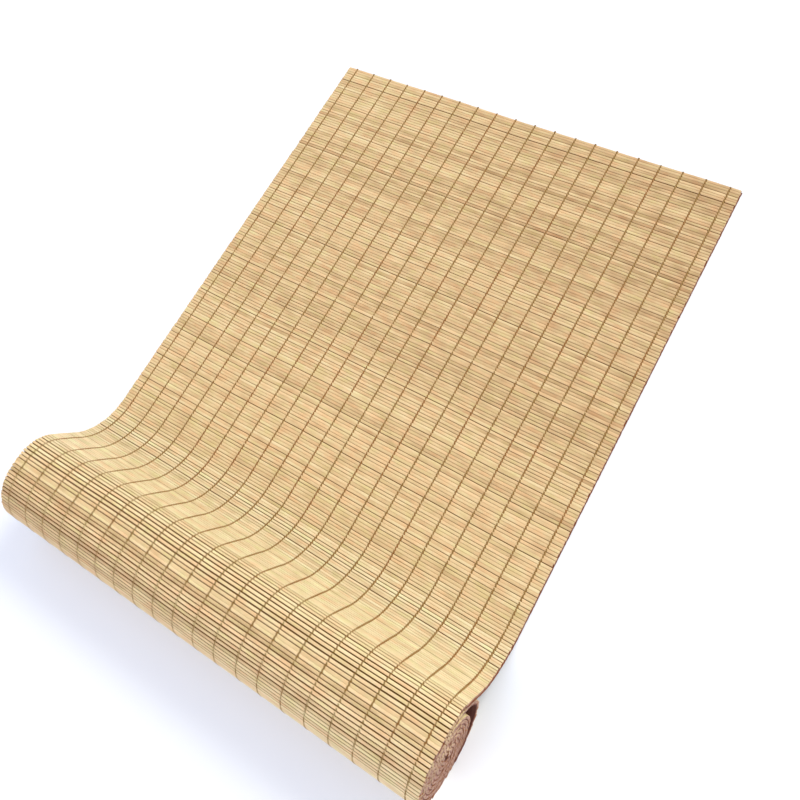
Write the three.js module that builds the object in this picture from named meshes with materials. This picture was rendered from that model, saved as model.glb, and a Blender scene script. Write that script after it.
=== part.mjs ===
// A bamboo tea mat, most of it unrolled and the rest still wound in a roll at its near end.
// Narrow bamboo slats lie side by side across the mat, and a cloth backs them.
// Millimetres. X runs along the slats, Y along the mat with the roll at -Y, and Z is up.
// The origin is the middle of the footprint, on the surface that the mat lies on.
import * as THREE from 'three';

// The mat
const matWidth = 300;
const slatPitch = 1.98;
const slatThickness = 1.1;
const clothThickness = 1.0;
const layerGap = 0.3;
const grooveWidth = 0.46;
const grooveDepth = 0.42;
const sheetThickness = clothThickness + layerGap + slatThickness;

// The roll, seen from its +X end: angles in degrees from +Y, turning up and over
const rollRadius = 28;
const flatSpotSink = 0.6;
const rollCentre = new THREE.Vector2(0, rollRadius - flatSpotSink);
const farEdge = 362;
const frontEdge = -rollRadius;

// The rise, where the sheet leaves the floor, climbs, and bends over a crest on to the roll's level top
const riseSlope = 67;
const riseCurve = 36;
const riseBow = 0.2;
const crestRadius = 21;
const levelTop = 6;
const rollTop = rollCentre.y + rollRadius;
const crestCentre = new THREE.Vector2(levelTop, rollTop - crestRadius);
const leaveAngle = 90 - riseSlope;
const topAngle = 90;

// The outermost turn: close round the top, front and floor, slack at the back, then tucked under the rise
const tuckRadius = rollRadius - sheetThickness - layerGap;
const outerTurn = [
  { angle: 235, radius: rollRadius },
  { angle: 270, radius: rollRadius + 0.1 },
  { angle: 300, radius: rollRadius + 0.9 },
  { angle: 322, radius: rollRadius + 1.2 },
  { angle: 343, radius: rollRadius + 0.4 },
  { angle: 363, radius: rollRadius - 1.0 },
  { angle: 385, radius: tuckRadius + 0.3 },
  { angle: 405, radius: tuckRadius },
  { angle: 430, radius: tuckRadius },
];

// The turns inside it lie against the front, so a gap shows behind them
const woundCentre = new THREE.Vector2(-2.1, 27.15);
const woundPitch = 2.4;
const woundHalfDepth = 22.9;
const woundHalfHeight = 25.1;
const tuckBlend = { from: 392, to: 452 };
const lastRibAngle = 384;
const clothEndAngle = 382;
const sealAngle = 398;
const woundEndAngle = 742;
const woundFront = 540;
const woundTop = 450;
const fullTurn = 360;

// How closely the face's path and the layers under it are stepped
const flatSteps = 60;
const riseSteps = 60;
const climbSteps = 10;
const slackSteps = 220;
const turnStep = 1;
const woundStep = 2;
const flatSpans = 4;
const bentSpan = 4;
const bendLead = riseCurve * 2;
const headingReach = 0.6;

const degrees = THREE.MathUtils.degToRad;

// A point at a radius and an angle about a centre, in the plane across the roll
function polar(centre, angle, across, up = across) {
  return new THREE.Vector2(
    centre.x + across * Math.cos(degrees(angle)),
    centre.y + up * Math.sin(degrees(angle)),
  );
}

// The crest, then the outermost turn with its slack and the flat spot it rests on
function outerTurnPoints() {
  const points = [];
  for (let angle = leaveAngle; angle < topAngle; angle += turnStep) {
    points.push({ angle, at: polar(crestCentre, angle, crestRadius) });
  }
  for (let angle = topAngle; angle < outerTurn[0].angle; angle += turnStep) {
    points.push({ angle, at: polar(rollCentre, angle, rollRadius) });
  }
  const slack = new THREE.SplineCurve(outerTurn.map((row) => new THREE.Vector2(row.angle, row.radius)));
  for (const { x: angle, y: radius } of slack.getPoints(slackSteps)) {
    points.push({ angle, at: polar(rollCentre, angle, radius) });
  }
  return points.map(({ angle, at }) => ({ angle, at: new THREE.Vector2(at.x, Math.max(at.y, 0)) }));
}

// The face of the turns inside, a slowly closing oval
function woundPoint(angle) {
  const across = woundHalfDepth - (woundPitch * (angle - woundFront)) / fullTurn;
  const up = woundHalfHeight - (woundPitch * (angle - woundTop)) / fullTurn;
  return polar(woundCentre, angle, across, up);
}

// The outermost turn blends into the turns inside as it passes under the rise
function rollPoints() {
  const points = outerTurnPoints().map(({ angle, at }) => {
    const inside = THREE.MathUtils.smoothstep(angle, tuckBlend.from, tuckBlend.to);
    return { angle, at: at.clone().lerp(woundPoint(angle), inside) };
  });
  for (let angle = outerTurn.at(-1).angle + woundStep; angle <= woundEndAngle; angle += woundStep) {
    const inside = THREE.MathUtils.smoothstep(angle, tuckBlend.from, tuckBlend.to);
    const tucked = polar(rollCentre, angle, tuckRadius);
    points.push({ angle, at: tucked.lerp(woundPoint(angle), inside) });
  }
  return points;
}

// The face of the mat from its far edge, along the floor, up the rise and round the roll
function facePoints() {
  const points = [];
  const slope = degrees(riseSlope);
  const leave = polar(crestCentre, leaveAngle, crestRadius);
  const curveTop = sheetThickness + riseCurve * (1 - Math.cos(slope));
  const climb = new THREE.Vector2(leave.x + (leave.y - curveTop) / Math.tan(slope), curveTop);
  const riseFoot = climb.x + riseCurve * Math.sin(slope);
  for (let i = 0; i <= flatSteps; i += 1) {
    const y = THREE.MathUtils.lerp(farEdge, riseFoot, i / flatSteps);
    points.push({ angle: null, at: new THREE.Vector2(y, sheetThickness) });
  }
  for (let i = 1; i <= riseSteps; i += 1) {
    const turned = (slope * i) / riseSteps;
    const y = riseFoot - riseCurve * Math.sin(turned);
    const z = sheetThickness + riseCurve * (1 - Math.cos(turned));
    points.push({ angle: null, at: new THREE.Vector2(y, z) });
  }
  // The climb between the two bends bows out by riseBow at its middle
  const outward = new THREE.Vector2(Math.sin(slope), Math.cos(slope));
  for (let i = 1; i < climbSteps; i += 1) {
    const t = i / climbSteps;
    const at = climb.clone().lerp(leave, t).addScaledVector(outward, riseBow * 4 * t * (1 - t));
    points.push({ angle: null, at });
  }
  return points.concat(rollPoints());
}

// The face as a path: a point and its outward direction at any length from the far edge
function makePath(points) {
  const lengths = [0];
  for (let i = 1; i < points.length; i += 1) {
    lengths.push(lengths[i - 1] + points[i].at.distanceTo(points[i - 1].at));
  }
  const pointAt = (length) => {
    let high = lengths.findIndex((value) => value >= length);
    high = high < 1 ? (high < 0 ? points.length - 1 : 1) : high;
    const span = lengths[high] - lengths[high - 1];
    const share = THREE.MathUtils.clamp((length - lengths[high - 1]) / span, 0, 1);
    return points[high - 1].at.clone().lerp(points[high].at, share);
  };
  const outwardAt = (length) => {
    const behind = pointAt(Math.max(length - headingReach, 0));
    const heading = pointAt(length + headingReach).sub(behind).normalize();
    return new THREE.Vector2(heading.y, -heading.x);
  };
  const below = (length, depth) => pointAt(length).addScaledVector(outwardAt(length), -depth);
  const lengthAtAngle = (angle) => lengths[points.findIndex((point) => point.angle !== null && point.angle >= angle)];
  return { below, lengthAtAngle, total: lengths.at(-1) };
}

const path = makePath(facePoints());

// Points at one depth under the face, closer together where the sheet bends
function layer(depth, from, to) {
  const points = [];
  const bend = path.lengthAtAngle(leaveAngle) - bendLead;
  let length = from;
  while (length < to) {
    points.push(path.below(length, depth));
    length += length < bend ? bend / flatSpans : bentSpan;
  }
  points.push(path.below(to, depth));
  return points;
}

// The slats' tops, with a groove between each slat and the next
function slatTops(from, to) {
  const points = [];
  const count = Math.floor((to - from) / slatPitch);
  for (let i = 0; i < count; i += 1) {
    const start = from + i * slatPitch;
    points.push(path.below(start, i === 0 ? 0 : grooveDepth));
    points.push(path.below(start + grooveWidth / 2, 0));
    points.push(path.below(start + slatPitch - grooveWidth / 2, 0));
  }
  return { points, end: from + count * slatPitch };
}

// A section in the plane across the roll, carried straight along the slats, centred on the footprint
function extrudeAcross(section, width) {
  const geometry = new THREE.ExtrudeGeometry(new THREE.Shape(section), {
    depth: width,
    bevelEnabled: false,
    curveSegments: 1,
  });
  geometry.applyMatrix4(new THREE.Matrix4().makeBasis(
    new THREE.Vector3(0, 1, 0),
    new THREE.Vector3(0, 0, 1),
    new THREE.Vector3(1, 0, 0),
  ));
  geometry.translate(-width / 2, -(farEdge + frontEdge) / 2, 0);
  return geometry;
}

// The slats: flat part, rise and outermost turn as a ribbed sheet, running into the wound turns
function slatPanel() {
  const ribs = slatTops(0, path.lengthAtAngle(lastRibAngle));
  const wound = layer(0, ribs.end, path.total);
  const underside = layer(slatThickness, 0, path.lengthAtAngle(sealAngle)).reverse();
  return extrudeAcross([...ribs.points, ...wound, ...underside], matWidth);
}

// The backing cloth: under the slats from the far edge, up the rise and once round inside the outermost turn
function backingCloth() {
  const top = slatThickness + layerGap;
  const end = path.lengthAtAngle(clothEndAngle);
  const section = [...layer(top, 0, end), ...layer(sheetThickness, 0, end).reverse()];
  return extrudeAcross(section, matWidth);
}

const bambooFinish = new THREE.MeshStandardMaterial({ color: 0xd9b885, roughness: 0.55, metalness: 0 });
const clothFinish = new THREE.MeshStandardMaterial({ color: 0x664638, roughness: 0.95, metalness: 0 });

const group = new THREE.Group();
for (const [name, geometry, finish] of [
  ['slat_panel', slatPanel(), bambooFinish],
  ['backing_cloth', backingCloth(), clothFinish],
]) {
  const mesh = new THREE.Mesh(geometry, finish);
  mesh.name = name;
  group.add(mesh);
}

export default group;
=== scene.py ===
import math

import bpy
import numpy as np
from mathutils import Matrix, Vector


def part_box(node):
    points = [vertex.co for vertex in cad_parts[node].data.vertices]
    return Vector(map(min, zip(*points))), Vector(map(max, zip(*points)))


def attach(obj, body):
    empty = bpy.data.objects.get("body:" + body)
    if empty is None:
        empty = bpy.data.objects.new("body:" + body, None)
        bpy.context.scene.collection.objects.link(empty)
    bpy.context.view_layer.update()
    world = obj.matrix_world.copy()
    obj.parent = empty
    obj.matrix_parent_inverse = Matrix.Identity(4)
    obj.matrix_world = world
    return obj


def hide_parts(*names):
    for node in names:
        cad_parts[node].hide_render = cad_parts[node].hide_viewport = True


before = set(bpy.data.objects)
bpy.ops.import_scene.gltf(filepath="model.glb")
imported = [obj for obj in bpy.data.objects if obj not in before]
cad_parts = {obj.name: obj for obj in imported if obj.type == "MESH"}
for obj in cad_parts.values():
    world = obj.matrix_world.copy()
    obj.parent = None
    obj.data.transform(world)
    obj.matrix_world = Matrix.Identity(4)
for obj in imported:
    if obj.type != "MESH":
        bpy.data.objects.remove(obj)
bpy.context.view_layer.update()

# A bamboo tea mat, part unrolled: separate slats, the thread that holds them and the cloth behind.
# Metres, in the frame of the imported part: X along the slats, Y along the mat, Z up.

panelLow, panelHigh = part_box("slat_panel")
rng = np.random.default_rng(27)
matWidth = panelHigh.x - panelLow.x

# The line of the sheet's face across the roll. Angles are in degrees from +Y, turning up and over,
# and curl is in radians a metre, above 0 where the sheet bends round and below 0 where it is hollow
topAngle = 90.0
fullTurn = 360.0
sheetShape = {
    "thick": 0.0024,  # a slat and the cloth behind it
    "radius": 0.028,
    "flatSpotSink": 0.0006,
    "riseSlope": 67.0,
    "riseCurve": 0.036,
    "riseBow": 0.0002,
    "crestRadius": 0.021,
    "levelTop": 0.006,
    "slack": 0.0012,  # how far the outermost turn bulges, where, and how widely
    "slackAngle": 315.0,
    "slackSpread": 35.0,
    "tuckFrom": 335.0,  # where the outermost turn draws in under the rise
    "tuckTo": 395.0,
    "tuckEnd": 398.0,
    "blendFrom": 392.0,  # where it passes into the oval of the turns inside
    "blendTo": 452.0,
    "woundShift": -0.0021,
    "woundHeight": 0.02715,
    "woundHalfDepth": 0.0229,
    "woundHalfHeight": 0.0251,
    "woundFront": 540.0,  # the angles at which the oval has those half sizes
    "woundTop": 450.0,
    "coreAngle": 3640.0,
    "bentFrom": 5.0,  # curl at which the sheet starts to count as bent round, and fully does
    "bentFull": 30.0,
    "angleStep": 0.5,
    "arcPoints": 120,
    "climbPoints": 40,
    "pointStep": 0.00025,
    "turnSmoothing": 7,
}


def smoothStep(value, low, high):
    # 0 below low, 1 above high, and an even S between them
    share = np.clip((value - low) / (high - low), 0, 1)
    return share * share * (3 - 2 * share)


def around(centre, angle, across, up):
    # A point at an angle about a centre, on an oval of those half sizes
    turn = np.radians(angle)
    return centre + np.column_stack([across * np.cos(turn), up * np.sin(turn)])


def rollLine(shape, centre, angle):
    # A circle with a soft bulge where the turn is slack, drawn in where it tucks under the rise,
    # then blended into an oval that closes by one sheet's thickness a turn
    bulge = shape["slack"] * np.exp(-(((angle - shape["slackAngle"]) / shape["slackSpread"]) ** 2))
    radius = shape["radius"] + bulge - shape["thick"] * smoothStep(angle, shape["tuckFrom"], shape["tuckTo"])
    outer = around(centre, angle, radius, radius)
    across = shape["woundHalfDepth"] - shape["thick"] * (angle - shape["woundFront"]) / fullTurn
    up = shape["woundHalfHeight"] - shape["thick"] * (angle - shape["woundTop"]) / fullTurn
    wound = around(np.array([centre[0] + shape["woundShift"], shape["woundHeight"]]), angle, across, up)
    share = smoothStep(angle, shape["blendFrom"], shape["blendTo"])[:, None]
    return outer * (1 - share) + wound * share


def faceLine(shape):
    # Level from the far edge, up an arc, a climb that bows out a little, an arc over the crest,
    # and a short level top on to the roll. Also gives the number of the point where the tuck ends
    centre = np.array([panelLow.y + shape["radius"], shape["radius"] - shape["flatSpotSink"]])
    slope = math.radians(shape["riseSlope"])
    crestCentre = centre + [shape["levelTop"], shape["radius"] - shape["crestRadius"]]
    crestAngle = np.arange(topAngle - shape["riseSlope"], topAngle, shape["angleStep"])
    crest = around(crestCentre, crestAngle, shape["crestRadius"], shape["crestRadius"])
    curve = shape["riseCurve"]
    arcTop = shape["thick"] + curve * (1 - math.cos(slope))
    foot = crest[0, 0] + (crest[0, 1] - arcTop) / math.tan(slope) + curve * math.sin(slope)
    level = np.array([[panelHigh.y, shape["thick"]]])
    turned = np.linspace(0, slope, shape["arcPoints"])
    arc = np.column_stack([foot - curve * np.sin(turned), shape["thick"] + curve * (1 - np.cos(turned))])
    share = np.linspace(0, 1, shape["climbPoints"])[1:-1, None]
    bow = shape["riseBow"] * 4 * share * (1 - share) * [math.sin(slope), math.cos(slope)]
    climb = arc[-1] + share * (crest[0] - arc[-1]) + bow
    rollAngle = np.arange(topAngle, shape["coreAngle"], shape["angleStep"])
    roll = rollLine(shape, centre, rollAngle)
    start = np.vstack([level, arc, climb, crest])
    tuckPoint = len(start) + int(np.searchsorted(rollAngle, shape["tuckEnd"]))
    return np.vstack([start, roll]), tuckPoint


def lengthAlong(line):
    # The sum of the steps up to each point
    steps = np.linalg.norm(np.diff(line, axis=0), axis=1)
    return np.concatenate([[0], np.cumsum(steps)])


def evenly(line, step):
    # The same line with its points at even steps, never under the floor
    length = lengthAlong(line)
    even = np.arange(0, length[-1], step)
    line = np.column_stack([np.interp(even, length, line[:, axis]) for axis in (0, 1)])
    line[:, 1] = np.maximum(line[:, 1], 0)
    return line


def outwardOf(line, smoothing):
    # The heading turned a quarter turn, smoothed over a few points
    heading = np.gradient(line, axis=0)
    outward = np.column_stack([heading[:, 1], -heading[:, 0]])
    padded = np.pad(outward, ((smoothing // 2, smoothing // 2), (0, 0)), "edge")
    kernel = np.hanning(smoothing + 2)[1:-1]
    outward = np.column_stack([np.convolve(padded[:, axis], kernel, "valid") for axis in (0, 1)])
    return outward / np.linalg.norm(outward, axis=1)[:, None]


class SheetPath:
    # Places on the sheet: a length along it and a height above the slats' seat give a point
    def __init__(self, shape, seatDepth):
        face, tuckPoint = faceLine(shape)
        tuckShare = lengthAlong(face)[tuckPoint] / lengthAlong(face)[-1]
        face = evenly(face, shape["pointStep"])
        self.outward = outwardOf(face, shape["turnSmoothing"])
        self.line = face - self.outward * seatDepth
        self.length = lengthAlong(self.line)
        self.total = self.length[-1]
        self.tuck = self.length[int(tuckShare * len(face))]
        bearing = np.unwrap(np.arctan2(self.outward[:, 1], self.outward[:, 0]))
        self.curl = np.gradient(bearing, self.length)

    def at(self, along):
        # The point on the seat and its outward direction, read between the line's own points
        point = [np.interp(along, self.length, self.line[:, axis]) for axis in (0, 1)]
        outward = [np.interp(along, self.length, self.outward[:, axis]) for axis in (0, 1)]
        return np.stack(point, -1), np.stack(outward, -1)

    def place(self, across, along, height):
        # Carries the section across the mat: X is free, Y and Z come from the line
        point, outward = self.at(along)
        yz = point + outward * np.asarray(height)[..., None]
        return onGrid(across, yz[..., 0], np.maximum(yz[..., 1], 0))

    def curlAt(self, along):
        return np.interp(along, self.length, self.curl)

    def bentRound(self, along):
        # 0 where the sheet is level or hollow, and 1 where it bends round
        return smoothStep(self.curlAt(along), sheetShape["bentFrom"], sheetShape["bentFull"])


def onGrid(*parts):
    # Three values for each point, each given along as much of the grid as it changes over
    return np.stack(np.broadcast_arrays(*parts), -1)


def chance(size, low=-2, high=2):
    # Normal chance values, with the rare far ones held back
    return np.clip(rng.normal(size=size), low, high)


# Slats: their pitch closes up where the sheet bends hollow and opens where it bends round
slatSizes = {
    "pitch": 0.00198,
    "closeHollow": 0.02,
    "openRound": 0.08,
    "bend": 30.0,  # curl at which they have closed or opened fully
    "bendSmoothing": 0.012,
    "width": 0.00172,
    "widthSpread": 0.04,
    "widthLimits": (-2, 1.2),
    "flatWidth": 1.08,  # times the width where the sheet lies level
    "levelCurl": 10.0,
    "riseWidth": 0.96,  # times the width where it climbs
    "steepFrom": 0.95,  # it climbs where less than this share of its outward direction points up
    "riseEnd": 0.375,  # length along the sheet where the climb is over
    "woundWidth": 1.07,  # times the width inside the roll
    "thick": 0.0016,
    "heightSpread": 0.00004,
    "edgeRound": 0.00037,
    "shoulder": 0.3,  # share of the rounding that its middle corner is in by
    "footInset": 0.00008,
    "footRise": 0.00012,
    "sawnSides": (0, 1, 7, 8, 9),  # the section's sides that face the next slats and the cloth
    "gapSpread": 0.00009,
    "tiltFlat": 1.0,  # degrees
    "tiltRoll": 1.6,
    "tiltWound": 0.6,
    "rollCurl": 20.0,
    "endSpread": 0.0002,
    "stations": 13,
    "innerStations": 3,
}
path = SheetPath(sheetShape, slatSizes["thick"])


def slatPlaces():
    # Adds up slats along the line, each as long as the pitch at that place
    points = int(slatSizes["bendSmoothing"] / sheetShape["pointStep"])
    kernel = np.hanning(points) / np.hanning(points).sum()
    bend = np.convolve(np.clip(path.curl / slatSizes["bend"], -1, 1), kernel, "same")
    bend = np.where(path.length > path.tuck, 0, bend)
    change = np.where(bend < 0, slatSizes["closeHollow"], slatSizes["openRound"])
    pitch = slatSizes["pitch"] * (1 + change * bend)
    pitch = (pitch[1:] + pitch[:-1]) / 2
    count = np.concatenate([[0], np.cumsum(np.diff(path.length) / pitch)])
    return np.interp(np.arange(int(count[-1])) + 0.5, count, path.length)


slatMiddle = slatPlaces()
slatCount = len(slatMiddle)
shownSlats = int(np.searchsorted(slatMiddle, path.tuck))
print("sheet", round(path.total, 4), "m long with", slatCount, "slats,", shownSlats, "of them on show")

# Each wave's height, its lengths across and along the mat, and its start in radians
swayWaves = [
    {"height": 0.00028, "across": 0.23, "along": 0.41, "start": 1.1},
    {"height": 0.00016, "across": 0.097, "along": -0.19, "start": 2.3},
]


def sway(across, along):
    # Slow waves shared by neighbouring slats, so that they wander together without crossing
    return sum(
        wave["height"] * np.sin(2 * np.pi * (across / wave["across"] + along / wave["along"]) + wave["start"])
        for wave in swayWaves
    )


def makeMesh(name, points, faces, materials, attributes, faceMaterial=None):
    # A mesh that rides on the part's one body, with values for its materials at each point
    mesh = bpy.data.meshes.new(name)
    mesh.from_pydata(points.reshape(-1, 3).tolist(), [], faces)
    for attributeName, values in attributes.items():
        layer = mesh.attributes.new(attributeName, "FLOAT_VECTOR", "POINT")
        layer.data.foreach_set("vector", np.ascontiguousarray(values, np.float32).ravel())
    for material in materials:
        mesh.materials.append(material)
    if faceMaterial is not None:
        mesh.polygons.foreach_set("material_index", faceMaterial.astype(np.int32))
    mesh.update()
    piece = bpy.data.objects.new(name, mesh)
    bpy.context.scene.collection.objects.link(piece)
    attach(piece, "root")
    return piece


def ringFaces(bodies, rings, sides):
    # Quads between each ring of points and the next, for many equal bodies at once
    start = np.arange(bodies)[:, None, None] * rings * sides
    ring = np.arange(rings - 1)[None, :, None] * sides
    side = np.arange(sides)[None, None, :]
    here = start + ring + side
    beside = start + ring + (side + 1) % sides
    return np.stack([here, beside, beside + sides, here + sides], -1).reshape(-1, 4)


slatTone = {
    "light": 0.53,  # from 0, dark, to 1, light
    "slow": 0.012,
    "slowSlats": 15,
    "quick": 0.024,
    "quickSlats": 5,
    "own": 0.07,
    "ownLimits": (-2.5, 1.8),
    "brownShare": 0.035,
    "brownDarker": 0.11,
    "hue": 0.5,  # from 0, greener, to 1, pinker
    "hueSpread": 0.16,
    "brownHue": 0.16,
    "seeds": 40,
    "margin": 30,
}


def slatTones(count):
    # Lightness: slow bands of like slats, each slat's own tone, and a few dark ones. Then hue and a seed
    within = slice(slatTone["margin"], slatTone["margin"] + count)
    steps = rng.normal(size=count + 2 * slatTone["margin"])
    slow = np.convolve(steps, np.hanning(slatTone["slowSlats"]), "same")[within]
    quick = np.convolve(steps[::-1], np.hanning(slatTone["quickSlats"]), "same")[within]
    bands = slatTone["light"] + slatTone["slow"] * slow + slatTone["quick"] * quick
    light = bands + slatTone["own"] * chance(count, *slatTone["ownLimits"])
    brown = rng.random(count) < slatTone["brownShare"]
    light -= slatTone["brownDarker"] * brown
    hue = slatTone["hue"] + slatTone["hueSpread"] * rng.normal(size=count) + slatTone["brownHue"] * brown
    seed = rng.random(count) * slatTone["seeds"]
    return np.column_stack([np.clip(light, 0, 1), np.clip(hue, 0, 1), seed])


tones = slatTones(slatCount)


def slatSection(width, thick):
    # A flat strip with its upper edges rounded: distance from the middle, height above the seat
    half = width / 2
    turn = slatSizes["edgeRound"]
    shoulder = slatSizes["shoulder"] * turn
    left = [
        (-half + slatSizes["footInset"], np.zeros_like(thick)),
        (-half, np.full_like(thick, slatSizes["footRise"])),
        (-half, thick - turn),
        (-half + shoulder, thick - shoulder),
        (-half + turn, thick),
    ]
    right = [(-side, height) for side, height in reversed(left)]
    return np.stack([np.stack(corner, -1) for corner in left + right], 1)


def leaned(section, tilt):
    # Each section turned about its own middle
    middle = section.mean(1, keepdims=True)
    offset = section - middle
    cosine, sine = np.cos(tilt)[:, None], np.sin(tilt)[:, None]
    aside = offset[..., 0] * cosine - offset[..., 1] * sine + middle[..., 0]
    height = offset[..., 0] * sine + offset[..., 1] * cosine + middle[..., 1]
    return aside, height


def slatForms(pick, widen):
    # Each slat's own width, thickness and lean, by chance and by where it lies on the sheet
    count = len(pick)
    spread = slatSizes["widthSpread"] * chance(count, *slatSizes["widthLimits"])
    width = slatSizes["width"] * widen * (1 + spread)
    thick = slatSizes["thick"] + slatSizes["heightSpread"] * chance(count)
    middle = slatMiddle[pick]
    curl = path.curlAt(middle)
    steep = np.interp(middle, path.length, path.outward[:, 1]) < slatSizes["steepFrom"]
    wound = pick >= shownSlats
    level = ~steep & ~wound & (np.abs(curl) <= slatSizes["levelCurl"])
    climbing = steep & ~wound & (curl < slatSizes["levelCurl"]) & (middle < slatSizes["riseEnd"])
    width *= np.where(level, slatSizes["flatWidth"], 1)
    width *= np.where(climbing, slatSizes["riseWidth"], 1)
    lean = np.where(curl > slatSizes["rollCurl"], slatSizes["tiltRoll"], slatSizes["tiltFlat"])
    lean = np.where(wound, slatSizes["tiltWound"], lean)
    return width, thick, np.radians(lean) * rng.normal(size=count)


def withCaps(values):
    # The values at every ring, then once more at each slat's first and last ring, for its ends
    ends = np.stack([values[:, 0], values[:, -1]], 1)
    return np.vstack([values.reshape(-1, 3), ends.reshape(-1, 3)])


def makeSlats(name, pick, stations, materials, widen=1.0):
    # Each slat's section is carried from one end to the other, on the sheet's line with a slow sway
    count = len(pick)
    width, thick, tilt = slatForms(pick, widen)
    ends = matWidth / 2 - slatSizes["endSpread"] * np.abs(rng.normal(size=(count, 2)))
    share = np.linspace(0, 1, stations)
    x = -ends[:, :1] + share * (ends[:, :1] + ends[:, 1:])
    middleLine = slatMiddle[pick][:, None] + slatSizes["gapSpread"] * rng.normal(size=(count, 1))
    along = middleLine + sway(x, middleLine)
    aside, height = leaned(slatSection(width, thick), tilt)
    point, outward = path.at(along)
    heading = np.stack([-outward[..., 1], outward[..., 0]], -1)
    yz = (point[:, :, None] + heading[:, :, None] * aside[:, None, :, None]
          + outward[:, :, None] * height[:, None, :, None])
    ring = onGrid(x[:, :, None], yz[..., 0], np.maximum(yz[..., 1], 0))
    # The grain's place: along the slat, round its section, and a seed. The sheet's place: across
    # it, along it, and from 0 at the slat's foot to 1 at its face
    grain = onGrid(x[:, :, None], (aside + height / 2)[:, None, :], tones[pick, 2][:, None, None])
    sheet = onGrid(x[:, :, None], along[:, :, None], (height / thick[:, None])[:, None, :])
    sides = ring.shape[2]
    faces = ringFaces(count, stations, sides)
    capStart = count * stations * sides + np.arange(count * 2)[:, None] * sides
    order = np.arange(sides)
    capFaces = capStart + np.where(np.arange(count * 2)[:, None] % 2 == 0, order[::-1], order)
    # Materials: 0 on the face, 1 on the cut ends, 2 on the sawn sides
    sawn = np.isin(np.arange(len(faces)) % sides, slatSizes["sawnSides"])
    faceMaterial = np.concatenate([np.where(sawn, 2, 0), np.ones(len(capFaces))])
    piece = makeMesh(name, withCaps(ring), faces.tolist() + capFaces.tolist(), materials, {
        "slatTone": withCaps(np.broadcast_to(tones[pick][:, None, None], ring.shape)),
        "slatGrain": withCaps(grain),
        "sheetPlace": withCaps(sheet),
    }, faceMaterial)
    piece.data.polygons.foreach_set("use_smooth", np.arange(len(faceMaterial)) < len(faces))
    return piece


clothSizes = {
    "thick": 0.0008,
    "under": 0.00003,  # how far its upper side is under the slats
    "startIn": 0.0004,  # in from the sheet's two ends
    "endIn": 0.001,
    "step": 0.0014,
    "columns": 15,
    "overhang": 0.0003,
    "rollInset": 0.0003,
    "edgeSpread": 0.00006,
}


def makeCloth(material):
    # A closed band under the slats: out along its upper side and back along its lower side.
    # It reaches a little past the slats' ends, and a little short of them on the roll
    rows = int(path.total / clothSizes["step"])
    along = np.linspace(clothSizes["startIn"], path.total - clothSizes["endIn"], rows)
    bent = path.bentRound(along)
    beyond = clothSizes["overhang"] * (1 - bent) - clothSizes["rollInset"] * bent
    edge = matWidth / 2 + beyond[:, None] + clothSizes["edgeSpread"] * chance((rows, 2))
    share = np.linspace(0, 1, clothSizes["columns"])
    x = -edge[:, :1] + share * (edge[:, :1] + edge[:, 1:])
    lengths = np.broadcast_to(along[:, None], x.shape)
    upper = path.place(x, lengths, np.full(x.shape, -clothSizes["under"]))
    lower = path.place(x, lengths, np.full(x.shape, -clothSizes["thick"]))[:, ::-1]
    ring = np.concatenate([upper, lower], 1)
    sides = ring.shape[1]
    faces = ringFaces(1, rows, sides)[:, ::-1].tolist()
    last = (rows - 1) * sides
    faces += [list(range(sides)), list(range(last, last + sides))[::-1]]
    weave = np.concatenate([onGrid(x, lengths, 0), onGrid(x, lengths, clothSizes["thick"])[:, ::-1]], 1)
    return makeMesh("clothBacking", ring, faces, [material], {"weavePlace": weave})


threadSizes = {
    "count": 20,
    "placeSpread": 0.0002,
    "gapStep": -0.5,  # in slats from the middle of each: down in the gap, then over the top
    "topSteps": (-0.2, 0.2),
    "radius": 0.00058,
    "flatten": 0.4,
    "lieHeight": 0.0,
    "dip": 0.0003,
    "roundDip": 0.0002,
    "roundPull": 0.25,
    "slant": 0.0002,
    "across": 0.00003,
    "sides": 6,
}


def threadPlaces():
    # At even steps across the mat, half a step in from its sides
    count = threadSizes["count"]
    step = matWidth / count
    spread = rng.normal(size=count) * threadSizes["placeSpread"]
    return -matWidth / 2 + step * (np.arange(count) + 0.5) + spread


threadAcross = threadPlaces()


def threadMesh(name, ring, turn, along, material):
    # Closed tubes. Each point knows its place round the thread, along it, and the thread's number
    count, rings, sides = ring.shape[:3]
    start = np.arange(count)[:, None] * rings * sides
    order = np.arange(sides)
    caps = np.vstack([start + order[::-1], start + (rings - 1) * sides + order])
    faces = ringFaces(count, rings, sides).tolist() + caps.tolist()
    twist = onGrid(turn / (2 * np.pi), along, np.arange(count)[:, None, None])
    return makeMesh(name, ring, faces, [material], {"threadTwist": twist})


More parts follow.
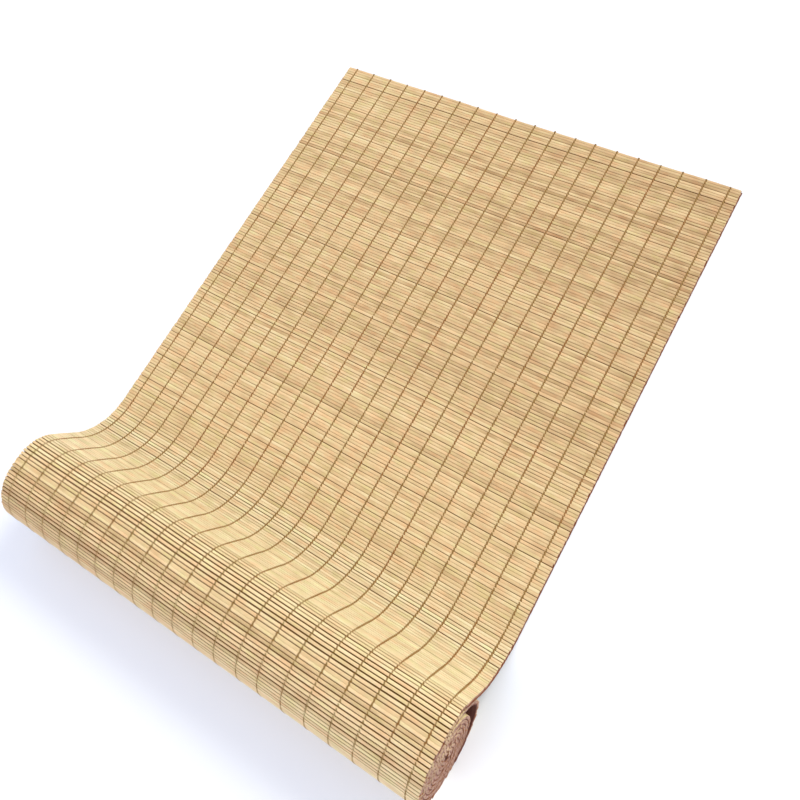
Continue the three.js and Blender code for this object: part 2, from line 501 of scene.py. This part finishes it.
def makeThreads(material):
    # On a slant over the top of each slat, and back as it goes down into the gap before the next.
    # Pulled thinner and deeper where the sheet bends round
    steps = (threadSizes["gapStep"],) + threadSizes["topSteps"]
    slat = np.repeat(np.arange(shownSlats), len(steps))
    phase = np.tile(steps, shownSlats)
    low = phase == threadSizes["gapStep"]
    seat = slatMiddle[slat] + phase * slatSizes["pitch"]
    slant = np.where(low, 0, np.sign(phase)) * threadSizes["slant"]
    wander = rng.normal(size=(threadSizes["count"], len(seat))) * threadSizes["across"]
    x = threadAcross[:, None] + slant + wander
    along = seat + sway(x, seat)
    bent = path.bentRound(seat)
    dip = threadSizes["dip"] + threadSizes["roundDip"] * bent
    lift = slatSizes["thick"] + np.where(low, -dip, threadSizes["lieHeight"])
    radius = threadSizes["radius"] * (1 - threadSizes["roundPull"] * bent)
    point, outward = path.at(along)
    turn = np.linspace(0, 2 * np.pi, threadSizes["sides"], endpoint=False)
    ringX = x[:, :, None] + radius[:, None] * np.cos(turn)
    height = lift[:, None] + radius[:, None] * threadSizes["flatten"] * np.sin(turn)
    yz = point[:, :, None] + outward[:, :, None] * height[..., None]
    ring = onGrid(ringX, yz[..., 0], np.maximum(yz[..., 1], 0))
    return threadMesh("warpThreads", ring, turn, seat[:, None], material)


knotSizes = {
    "width": 0.0012,
    "length": 0.0011,
    "height": 0.00075,
    "spread": 0.15,
    "inFromEdge": 0.0002,
    "aboveFace": 0.0001,
    "rings": 7,
    "sides": 8,
}


def makeKnots(material):
    # A squashed ball where each thread is tied off at the far edge
    rise = np.linspace(0, np.pi, knotSizes["rings"])[1:-1]
    turn = np.linspace(0, 2 * np.pi, knotSizes["sides"], endpoint=False)
    ringX = np.sin(rise)[:, None] * np.cos(turn) * knotSizes["width"] / 2
    ringY = np.cos(rise)[:, None] * knotSizes["length"] / 2
    ringZ = np.sin(rise)[:, None] * np.sin(turn) * knotSizes["height"] / 2
    size = 1 + knotSizes["spread"] * rng.normal(size=(threadSizes["count"], 1, 1, 1))
    tiedAt = panelHigh.y - knotSizes["inFromEdge"]
    centre = onGrid(threadAcross, tiedAt, sheetShape["thick"] + knotSizes["aboveFace"])
    points = centre[:, None, None] + onGrid(ringX, ringY, ringZ) * size
    return threadMesh("edgeKnots", points, turn, points[..., 1], material)


def linear(red, green, blue):
    # Display colour, 0 to 255, to the linear values that a shader takes
    def one(value):
        value = value / 255
        return value / 12.92 if value <= 0.04045 else ((value + 0.055) / 1.055) ** 2.4
    return (one(red), one(green), one(blue), 1)


class Finish:
    # A material with short ways to add and join its nodes
    def __init__(self, name, roughness):
        self.material = bpy.data.materials.new(name)
        self.material.use_nodes = True
        self.tree = self.material.node_tree
        self.shader = self.tree.nodes["Principled BSDF"]
        self.shader.inputs["Roughness"].default_value = roughness

    def add(self, kind, **inputs):
        node = self.tree.nodes.new("ShaderNode" + kind)
        for name, value in inputs.items():
            self.set(node, name, value)
        return node

    def set(self, node, name, value):
        # i0, i1 and i2 stand for inputs that share one name
        key = int(name[1:]) if name[0] == "i" and name[1:].isdigit() else name
        if isinstance(value, bpy.types.NodeSocket):
            self.tree.links.new(value, node.inputs[key])
        else:
            node.inputs[key].default_value = value

    def attribute(self, name):
        node = self.add("Attribute")
        node.attribute_name = name
        return node.outputs["Vector"]

    def split(self, vector):
        return self.add("SeparateXYZ", Vector=vector).outputs

    def math(self, operation, first, second=0.0, third=0.0):
        node = self.add("Math", i0=first, i1=second, i2=third)
        node.operation = operation
        return node.outputs[0]

    def vary(self, pattern, share, base):
        # Adds a share of a pattern that runs from 0 to 1, taken about its middle
        return self.math("MULTIPLY_ADD", self.math("SUBTRACT", pattern, 0.5), share, base)

    def held(self, value, most):
        # Kept between 0 and the most
        return self.math("MAXIMUM", self.math("MINIMUM", value, most), 0)

    def stretched(self, vector, scale):
        node = self.add("VectorMath", i0=vector, i1=scale)
        node.operation = "MULTIPLY"
        return node.outputs[0]

    def noise(self, vector, scale=1.0, detail=2.0, roughness=0.5):
        node = self.add("TexNoise", Vector=vector, Scale=scale, Detail=detail, Roughness=roughness)
        return node.outputs["Fac"]

    def mix(self, share, first, second, blend="MIX"):
        node = self.add("MixRGB", Fac=share, Color1=first, Color2=second)
        node.blend_type = blend
        return node.outputs["Color"]

    def tint(self, share, colour, by):
        # A share of the colour multiplied by another
        return self.mix(share, colour, self.mix(1, colour, by, "MULTIPLY"))

    def ramp(self, value, stops):
        node = self.add("ValToRGB", Fac=value)
        points = node.color_ramp.elements
        while len(points) < len(stops):
            points.new(0.5)
        for point, (place, colour) in zip(points, stops):
            point.position = place
            point.color = colour
        return node.outputs["Color"]

    def fade(self, value, stops):
        # A ramp of plain levels
        return self.ramp(value, [(place, (level, level, level, 1)) for place, level in stops])

    def shades(self, value, look):
        # A ramp of a look's three colours
        return self.ramp(value, list(zip(look["stops"], (look["dark"], look["middle"], look["light"]))))

    def bump(self, height, distance, strength=1.0):
        node = self.add("Bump", Height=height, Distance=distance, Strength=strength)
        self.tree.links.new(node.outputs["Normal"], self.shader.inputs["Normal"])


# Each pattern has a scale for each of its three places, and its share of the lightness
bambooLook = {
    "dark": linear(176, 136, 86),
    "middle": linear(221, 188, 135),
    "light": linear(242, 219, 168),
    "stops": (0.08, 0.5, 0.92),
    "streaks": (28, 5200, 9),
    "streakShare": 0.3,
    "lengths": (45, 120, 3.7),
    "lengthShare": 0.42,
    "patches": (75, 190, 0),
    "patchShare": 0.5,
    # Painted shade towards the far edge and its +X corner
    "farShadeFade": [(0.0, 1), (0.3, 0)],  # lengths along the sheet, and how much of the change each has
    "farShadeSlope": -0.8,  # lightness a metre towards +X, and at the middle
    "farShadeMiddle": -0.18,
    # Painted light and shade round the roll, lighter towards +X
    "rollLightFade": [(0.385, 0), (0.41, 1)],
    "rollLightSlope": 1.1,
    "rollLightMiddle": -0.03,
    # Painted sheen on the rise
    "riseSheenFade": [(0.296, 0), (0.32, 0.75), (0.355, 0.75), (0.376, 0)],
    "riseSheenTint": (1.02, 1.14, 1.3, 1),
    "tints": (60, 150, 0),
    "tintScale": 1.7,
    "tintShare": 3.0,
    "tintMost": 0.7,
    "pinker": (1.06, 0.9, 0.84, 1),
    "greener": (0.94, 1.02, 0.84, 1),
    # Painted shade on the flanks, down towards the gaps between slats
    "flankShade": linear(122, 64, 8),
    "flankShadeFade": [(0.5, 1), (0.86, 0)],  # from the slat's foot to its face
    "flankShadeShare": 0.85,
    "roughness": 0.33,
    "streakRoughness": 0.25,
    "streakHeight": 0.00006,
    "streakStrength": 0.6,
    "specular": 0.6,
    "sawMarks": (60, 4000, 9),
    # Saw marks in painted shade, dark as the gaps between slats
    "sawMarksInShade": [(0.3, linear(122, 64, 8)), (0.7, linear(164, 104, 40))],
    "sawSpecular": 0.05,
    "fibreScale": 2600.0,
    "fibreHeight": 0.00005,
    "fibreStrength": 0.4,
    "fibre": [(0.1, linear(136, 88, 66)), (0.45, linear(188, 142, 118))],
    "endTone": [(0.3, linear(162, 112, 90)), (0.75, linear(206, 168, 144))],
    "endToneShare": 0.6,
}


def bambooFace():
    # Each slat's own tone, fine streaks along it, soft patches over a few slats, and painted shade on the
    # flanks
    finish = Finish("bambooFace", 0.5)
    look = bambooLook
    light, hue, _ = finish.split(finish.attribute("slatTone"))
    grain = finish.attribute("slatGrain")
    sheet = finish.attribute("sheetPlace")
    across, along, up = finish.split(sheet)
    streaks = finish.noise(finish.stretched(grain, look["streaks"]), detail=3, roughness=0.6)
    light = finish.vary(streaks, look["streakShare"], light)
    light = finish.vary(finish.noise(finish.stretched(grain, look["lengths"])), look["lengthShare"], light)
    light = finish.vary(finish.noise(finish.stretched(sheet, look["patches"])), look["patchShare"], light)
    # Painted shade: darker at the far edge, most of all at its +X corner
    paintedFarShade = finish.math("MULTIPLY_ADD", across, look["farShadeSlope"], look["farShadeMiddle"])
    light = finish.math("MULTIPLY_ADD", finish.fade(along, look["farShadeFade"]), paintedFarShade, light)
    # Painted light and shade round the roll: the slats lighter towards its +X end and darker towards its -X
    # end
    paintedRollLight = finish.math("MULTIPLY_ADD", across, look["rollLightSlope"], look["rollLightMiddle"])
    light = finish.math("MULTIPLY_ADD", finish.fade(along, look["rollLightFade"]), paintedRollLight, light)
    colour = finish.shades(light, look)
    tints = finish.noise(finish.stretched(sheet, look["tints"]), scale=look["tintScale"], detail=1)
    warm = finish.vary(tints, look["tintShare"], finish.math("SUBTRACT", hue, 0.5))
    cool = finish.math("MULTIPLY", warm, -1)
    colour = finish.tint(finish.held(warm, look["tintMost"]), colour, look["pinker"])
    colour = finish.tint(finish.held(cool, look["tintMost"]), colour, look["greener"])
    # Painted sheen: the slats on the rise are paler and less orange, as under the window's light
    colour = finish.tint(finish.fade(along, look["riseSheenFade"]), colour, look["riseSheenTint"])
    # Painted shade: the flanks grow dark towards the slat's foot, where the gaps are
    flankShade = finish.math("MULTIPLY", finish.fade(up, look["flankShadeFade"]), look["flankShadeShare"])
    finish.set(finish.shader, "Base Color", finish.mix(flankShade, colour, look["flankShade"]))
    rough = finish.math("MULTIPLY_ADD", streaks, look["streakRoughness"], look["roughness"])
    finish.set(finish.shader, "Roughness", rough)
    finish.bump(streaks, look["streakHeight"], look["streakStrength"])
    finish.shader.inputs["Specular IOR Level"].default_value = look["specular"]
    return finish.material


def bambooSide():
    # The sawn sides that face each other across a gap: saw marks in painted shade, dark as the gap, and quite
    # matt
    finish = Finish("bambooSide", 0.9)
    saw = finish.noise(finish.stretched(finish.attribute("slatGrain"), bambooLook["sawMarks"]))
    finish.set(finish.shader, "Base Color", finish.ramp(saw, bambooLook["sawMarksInShade"]))
    finish.shader.inputs["Specular IOR Level"].default_value = bambooLook["sawSpecular"]
    return finish.material


def bambooEnd():
    # Cut ends: greyer and pinker, with the fine dots of the fibres
    finish = Finish("bambooEnd", 0.75)
    light = finish.split(finish.attribute("slatTone"))[0]
    where = finish.add("TexCoord").outputs["Object"]
    dots = finish.add("TexVoronoi", Vector=where, Scale=bambooLook["fibreScale"]).outputs["Distance"]
    fibre = finish.ramp(dots, bambooLook["fibre"])
    own = finish.ramp(light, bambooLook["endTone"])
    finish.set(finish.shader, "Base Color", finish.mix(bambooLook["endToneShare"], fibre, own))
    finish.bump(dots, bambooLook["fibreHeight"], bambooLook["fibreStrength"])
    return finish.material


clothLook = {
    "dark": linear(86, 52, 42),
    "middle": linear(132, 80, 64),
    "light": linear(166, 110, 92),
    "stops": (0.15, 0.55, 0.95),
    "yarn": 0.00062,
    "yarnShare": 0.12,
    "yarnHeight": 0.00012,
    "yarnStrength": 0.8,
    "slubs": (900, 120, 900),
    "slubShare": 0.5,
    "slubHeight": 0.4,
    "base": 0.2,
    "shadeScale": 14,
    "shadeShare": 0.5,
    "specular": 0.08,
    "sheen": 0.06,
    # Painted shade where the cloth's upper side shows in the gaps between slats
    "gapShade": linear(146, 80, 14),
    "gapShadeFade": [(0.0, 1), (0.25, 0)],  # from the upper side to the lower one
    "edgeFade": [(0.0006, 0), (0.0016, 1)],  # in from the far edge
    "sideFade": [(matWidth / 2 - 0.0012, 1), (matWidth / 2 - 0.0006, 0)],  # out from the middle
}


def clothFinish():
    # Plain weave: two crossing sets of fine ribs, with slubs and a slow change of shade.
    # Between the slats the upper side is painted darker and browner: painted shade in the gaps
    finish = Finish("backingCloth", 0.92)
    look = clothLook
    place = finish.attribute("weavePlace")
    across, along, depth = finish.split(place)
    ribs = 2 * math.pi / look["yarn"]
    warp = finish.math("SINE", finish.math("MULTIPLY", across, ribs))
    weft = finish.math("SINE", finish.math("MULTIPLY", along, ribs))
    weave = finish.math("MULTIPLY", warp, weft)
    slub = finish.noise(finish.stretched(place, look["slubs"]), detail=3, roughness=0.6)
    value = finish.math("MULTIPLY_ADD", slub, look["slubShare"], look["base"])
    value = finish.math("MULTIPLY_ADD", weave, look["yarnShare"], value)
    value = finish.vary(finish.noise(place, look["shadeScale"]), look["shadeShare"], value)
    # Painted shade on the upper side, kept back from the far edge and the sides
    upperSide = finish.fade(finish.math("DIVIDE", depth, clothSizes["thick"]), look["gapShadeFade"])
    fromSides = finish.fade(finish.math("ABSOLUTE", across), look["sideFade"])
    gapShadeMask = finish.math("MULTIPLY", finish.fade(along, look["edgeFade"]), fromSides)
    gapShadeMask = finish.math("MULTIPLY", upperSide, gapShadeMask)
    colour = finish.mix(gapShadeMask, finish.shades(value, look), look["gapShade"])
    finish.set(finish.shader, "Base Color", colour)
    relief = finish.math("MULTIPLY_ADD", slub, look["slubHeight"], weave)
    finish.bump(relief, look["yarnHeight"], look["yarnStrength"])
    finish.shader.inputs["Specular IOR Level"].default_value = look["specular"]
    finish.shader.inputs["Sheen Weight"].default_value = look["sheen"]
    return finish.material


threadLook = {
    "dark": linear(110, 79, 38),
    "middle": linear(149, 113, 62),
    "light": linear(178, 142, 90),
    "stops": (0.1, 0.55, 0.95),
    "twistLength": 0.0011,
    "plyTurn": 12.566,  # radians once round the thread: two plies
    # Share of the painted shade between the plies
    "plyShadeShare": 0.45,
    "plyHeight": 0.00008,
    "plyStrength": 0.6,
    "specular": 0.15,
    "fuzz": (3, 700, 1.7),
    "fuzzShare": 0.6,
    "redPlaces": (0, 26, 5.3),
    "redFade": [(0.5, 0), (0.66, 1)],
    "redShare": 0.7,
    "redder": (1.02, 0.76, 0.74, 1),
}


def threadFinish():
    # Two-ply cotton: slanting ribs round the thread, painted shade between the plies, redder in places
    finish = Finish("warpThread", 0.85)
    look = threadLook
    twist = finish.attribute("threadTwist")
    around, along, _ = finish.split(twist)
    turned = finish.math("MULTIPLY", around, look["plyTurn"])
    slant = finish.math("MULTIPLY_ADD", along, 2 * math.pi / look["twistLength"], turned)
    ply = finish.math("MULTIPLY_ADD", finish.math("SINE", slant), 0.5, 0.5)
    fuzz = finish.noise(finish.stretched(twist, look["fuzz"]), roughness=0.6)
    fuzz = finish.math("MULTIPLY", fuzz, look["fuzzShare"])
    # Painted shade between the plies, with fuzz
    colour = finish.shades(finish.math("MULTIPLY_ADD", ply, look["plyShadeShare"], fuzz), look)
    places = finish.noise(finish.stretched(twist, look["redPlaces"]), detail=1)
    red = finish.math("MULTIPLY", finish.fade(places, look["redFade"]), look["redShare"])
    finish.set(finish.shader, "Base Color", finish.tint(red, colour, look["redder"]))
    finish.bump(ply, look["plyHeight"], look["plyStrength"])
    finish.shader.inputs["Specular IOR Level"].default_value = look["specular"]
    return finish.material


bamboo = [bambooFace(), bambooEnd(), bambooSide()]
slats = makeSlats("bambooSlats", np.arange(shownSlats), slatSizes["stations"], bamboo)
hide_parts("slat_panel")
woundPick = np.arange(shownSlats, slatCount)
innerSlats = makeSlats("woundSlats", woundPick, slatSizes["innerStations"], bamboo, slatSizes["woundWidth"])
print("slats made")

threads = makeThreads(threadFinish())
knots = makeKnots(threads.data.materials[0])
print("threads and knots made")

cloth = makeCloth(clothFinish())
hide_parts("backing_cloth")

# Studio: a pale floor, an even sky and two soft lights
studio = {
    "floorSize": 40.0,
    "floorDrop": 0.0001,
    "floorColour": (0.965, 0.965, 0.97, 1),
    "sky": 0.72,
    "skyColour": (0.855, 0.93, 1.15, 1),
    "lights": [
        {"name": "window", "place": (1.2, 2.6, 2.1), "size": 1.6, "watts": 94, "colour": (1.03, 1.035, 0.9)},
        {"name": "fill", "place": (-0.3, -1.1, 1.0), "size": 1.0, "watts": 7, "colour": (1, 0.975, 0.93)},
    ],
}
view = {
    "place": (0.22809, -0.11184, 0.49425),
    "aim": (-0.00723, 0.03512, 0),
    "roll": -30.319,
    "lens": 39.5,
    "sensor": 36,
    "shift": (-0.0023, -0.1095),
    "clipStart": 0.01,
}


def lookAt(place, aim, roll=0.0):
    # Turned so that -Z points from the place to the aim, with the roll about that line
    forward = (Vector(aim) - Vector(place)).normalized()
    level = forward.cross(Vector((0, 0, 1))).normalized()
    upright = level.cross(forward)
    turn = math.radians(roll)
    right = level * math.cos(turn) + upright * math.sin(turn)
    up = upright * math.cos(turn) - level * math.sin(turn)
    turned = Matrix((right, up, -forward)).transposed().to_4x4()
    return Matrix.Translation(Vector(place)) @ turned


def makeStudio():
    # A square floor just under the mat, a sky of one colour, and square lights that face the middle
    half = studio["floorSize"] / 2
    drop = -studio["floorDrop"]
    corners = [(-half, -half, drop), (half, -half, drop), (half, half, drop), (-half, half, drop)]
    mesh = bpy.data.meshes.new("floor")
    mesh.from_pydata(corners, [], [[0, 1, 2, 3]])
    finish = Finish("floorFinish", 0.8)
    finish.shader.inputs["Base Color"].default_value = studio["floorColour"]
    mesh.materials.append(finish.material)
    floor = bpy.data.objects.new("floor", mesh)
    bpy.context.scene.collection.objects.link(floor)
    world = bpy.data.worlds.new("studioSky")
    world.use_nodes = True
    world.node_tree.nodes["Background"].inputs["Color"].default_value = studio["skyColour"]
    world.node_tree.nodes["Background"].inputs["Strength"].default_value = studio["sky"]
    bpy.context.scene.world = world
    for light in studio["lights"]:
        data = bpy.data.lights.new(light["name"], "AREA")
        data.size = light["size"]
        data.energy = light["watts"]
        data.color = light["colour"]
        lamp = bpy.data.objects.new(light["name"], data)
        lamp.matrix_world = lookAt(light["place"], (0, 0, 0))
        bpy.context.scene.collection.objects.link(lamp)


def makeCamera():
    # At the photo's angle, with the lens shifted to the photo's frame
    data = bpy.data.cameras.new("photoView")
    data.sensor_width = view["sensor"]
    data.lens = view["lens"]
    data.shift_x, data.shift_y = view["shift"]
    data.clip_start = view["clipStart"]
    camera = bpy.data.objects.new("photoView", data)
    camera.matrix_world = lookAt(view["place"], view["aim"], view["roll"])
    bpy.context.scene.collection.objects.link(camera)
    bpy.context.scene.camera = camera


makeStudio()
makeCamera()
bpy.context.scene.view_settings.view_transform = "Standard"
print("studio and camera set")

bpy.context.view_layer.update()
